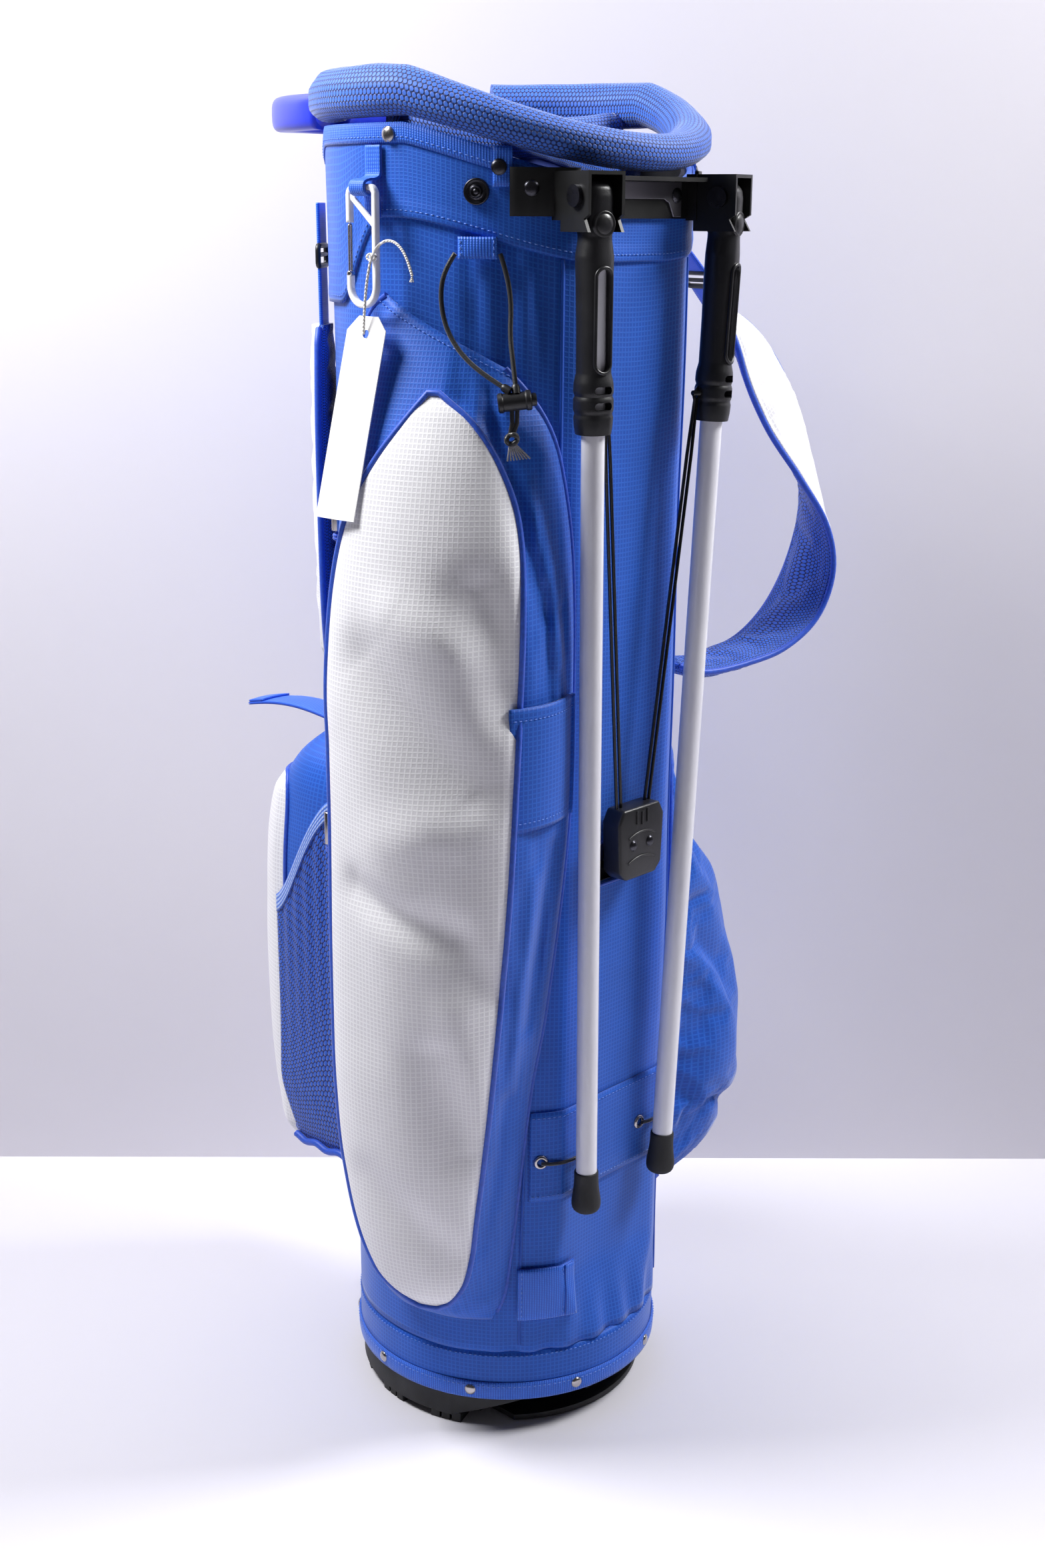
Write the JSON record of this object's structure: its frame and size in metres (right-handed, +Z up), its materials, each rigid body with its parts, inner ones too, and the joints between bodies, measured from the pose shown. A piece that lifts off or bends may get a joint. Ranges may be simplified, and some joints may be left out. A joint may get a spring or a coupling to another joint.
{
  "type": "golf stand bag",
  "caption": "Upright fabric golf bag with a moulded base, two folding stand legs driven by a base pedal, padded collar, pockets, lift handle and carry straps.",
  "frame": {"origin": "centre of the base's flat underside, on the floor", "axes": "+Z up along the bag; -Y towards the folding legs; +Y towards the lift handle and the ball pocket; +X to the side of the shoulder strap's loop"},
  "size_m": [0.4403, 0.3342, 0.8575],
  "materials": {
    "blue_ripstop": "ripstop polyester",
    "blue_webbing": "ribbed polypropylene webbing",
    "blue_mesh": "knitted spacer mesh",
    "white_ripstop": "coated ripstop",
    "blue_pad": "mesh over foam",
    "black_plastic": "moulded, satin",
    "base_rubber": "moulded tread",
    "black_steel": "gloss powder coat",
    "black_wire": "black coated wire",
    "white_tube": "gloss white paint on aluminium tube",
    "nickel": "plated rivet",
    "gunmetal": "gunmetal plating",
    "black_elastic": "braided elastic",
    "blue_handle": "moulded soft plastic, satin",
    "liner": "plain lining",
    "fibreglass": "pultruded rod",
    "white_card": "matt card",
    "white_cotton": "twisted cotton",
    "white_metal": "white coated alloy",
    "steel_wire": "bright wire"
  },
  "bodies": {
    "bag": {"apparel_panel": "white_ripstop", "apparel_pocket": "blue_ripstop", "ball_panel": "white_ripstop", "ball_pocket": "blue_ripstop", "band_eyelets": "gunmetal", "base_cup": "base_rubber", "base_hem": "blue_ripstop", "base_rivets": "nickel", "body_shell": "blue_ripstop", "carabiner_loop": "blue_webbing", "cart_strap_loop": "blue_webbing", "cinch_cord_left": "black_elastic", "cinch_cord_right": "black_elastic", "cinch_tab": "blue_webbing", "collar_pad": "blue_mesh", "cord_lock_body": "black_plastic", "cuff_binding": "blue_webbing", "cuff_cover": "blue_ripstop", "divider_pads": "blue_mesh", "divider_panels": "liner", "leg_band": "blue_ripstop", "leg_elastic_left": "black_elastic", "leg_elastic_right": "black_elastic", "lift_handle": "blue_handle", "mesh_pocket": "blue_mesh", "pedal_pin": "steel_wire", "pivot_bolts": "gunmetal", "shoulder_strap_left": "blue_pad", "shoulder_strap_right": "blue_pad", "side_pocket": "blue_ripstop", "snap_studs": "gunmetal", "stand_bracket": "black_steel", "stay_rods": "fibreglass", "strap_buckles": "black_plastic", "strap_webbing": "blue_webbing", "top_ring": "black_plastic", "top_rivets": "gunmetal", "towel_tab": "blue_webbing", "zip_tapes": "blue_webbing"},
    "leg_left": {"leg_head_left": "black_plastic", "leg_tube_left": "white_tube", "leg_foot_left": "base_rubber"},
    "leg_right": {"leg_head_right": "black_plastic", "leg_tube_right": "white_tube", "leg_foot_right": "base_rubber"},
    "rod_left": {"rod_left": "black_wire"},
    "rod_right": {"rod_right": "black_wire"},
    "actuator": {"actuator_clamp": "black_plastic", "push_strip": "black_plastic"},
    "pedal": {"base_pedal": "base_rubber"},
    "carabiner": {"carabiner_hook": "white_metal"},
    "gate": {"carabiner_gate": "steel_wire"},
    "tag": {"hang_tag": "white_card", "tag_string": "white_cotton"},
    "lock_button": {"cord_lock_button": "black_plastic"},
    "apparel_slider": {"apparel_zip_slider": "gunmetal", "apparel_zip_cord": "blue_webbing"},
    "side_slider": {"side_zip_slider": "gunmetal"},
    "ball_slider": {"ball_zip_slider": "gunmetal", "ball_zip_cord": "blue_webbing"}
  },
  "joints": [
    {"name": "leg_left_swing", "type": "hinge", "parent": "bag", "child": "leg_left", "pos_m": [-0.0589, -0.1186, 0.788], "axis": [-0.9703, 0.2419, 0], "range_deg": [0, 27]},
    {"name": "leg_right_swing", "type": "hinge", "parent": "bag", "child": "leg_right", "pos_m": [0.0589, -0.1186, 0.788], "axis": [-0.9703, -0.2419, 0], "range_deg": [0, 27.01]},
    {"name": "rod_left_turn", "type": "hinge", "parent": "leg_left", "child": "rod_left", "pos_m": [-0.0416, -0.11425, 0.67609], "axis": [0.9549, -0.2802, 0.0984], "range_deg": [0, 38.14]},
    {"name": "rod_right_turn", "type": "hinge", "parent": "leg_right", "child": "rod_right", "pos_m": [0.0416, -0.11425, 0.67609], "axis": [0.9549, 0.2802, -0.0984], "range_deg": [0, 38.14]},
    {"name": "actuator_slide", "type": "slide", "parent": "bag", "child": "actuator", "axis": [0, 0, 1], "range_m": [0, 0.01664]},
    {"name": "pedal_hinge", "type": "hinge", "parent": "bag", "child": "pedal", "pos_m": [0, -0.038, 0.0035], "axis": [-1, 0, 0], "range_deg": [0, 20.73]},
    {"name": "carabiner_swing", "type": "hinge", "parent": "bag", "child": "carabiner", "pos_m": [-0.1215, 0, 0.7922], "axis": [0, 1, 0], "range_deg": [0, 45]},
    {"name": "carabiner_gate_hinge", "type": "hinge", "parent": "carabiner", "child": "gate", "pos_m": [-0.1215, 0.0106, 0.745], "axis": [1, 0, 0], "range_deg": [0, 28], "stiffness_Nm_per_rad": 0.02},
    {"name": "tag_swing", "type": "hinge", "parent": "carabiner", "child": "tag", "pos_m": [-0.1271, -0.0135, 0.757], "axis": [0, 1, 0], "range_deg": [0, 40]},
    {"name": "cord_lock_press", "type": "slide", "parent": "bag", "child": "lock_button", "axis": [-0.6947, 0.7094, -0.1191], "range_m": [0, 0.004], "stiffness_N_per_m": 300},
    {"name": "apparel_zip_slide", "type": "slide", "parent": "bag", "child": "apparel_slider", "axis": [0, 0, -1], "range_m": [0, 0.46]},
    {"name": "side_zip_slide", "type": "slide", "parent": "bag", "child": "side_slider", "axis": [0, 0, -1], "range_m": [0, 0.22]},
    {"name": "ball_zip_slide", "type": "slide", "parent": "bag", "child": "ball_slider", "axis": [0, 0, -1], "range_m": [0, 0.24]}
  ],
  "couplings": [
    {"joint": "leg_right_swing", "follows": "leg_left_swing", "ratio": 1},
    {"joint": "rod_left_turn", "follows": "leg_left_swing", "ratio": 1.4117},
    {"joint": "rod_right_turn", "follows": "leg_left_swing", "ratio": 1.4117},
    {"joint": "actuator_slide", "follows": "leg_left_swing", "m_per_rad": 0.035274},
    {"joint": "pedal_hinge", "follows": "leg_left_swing", "ratio": 0.7671}
  ]
}
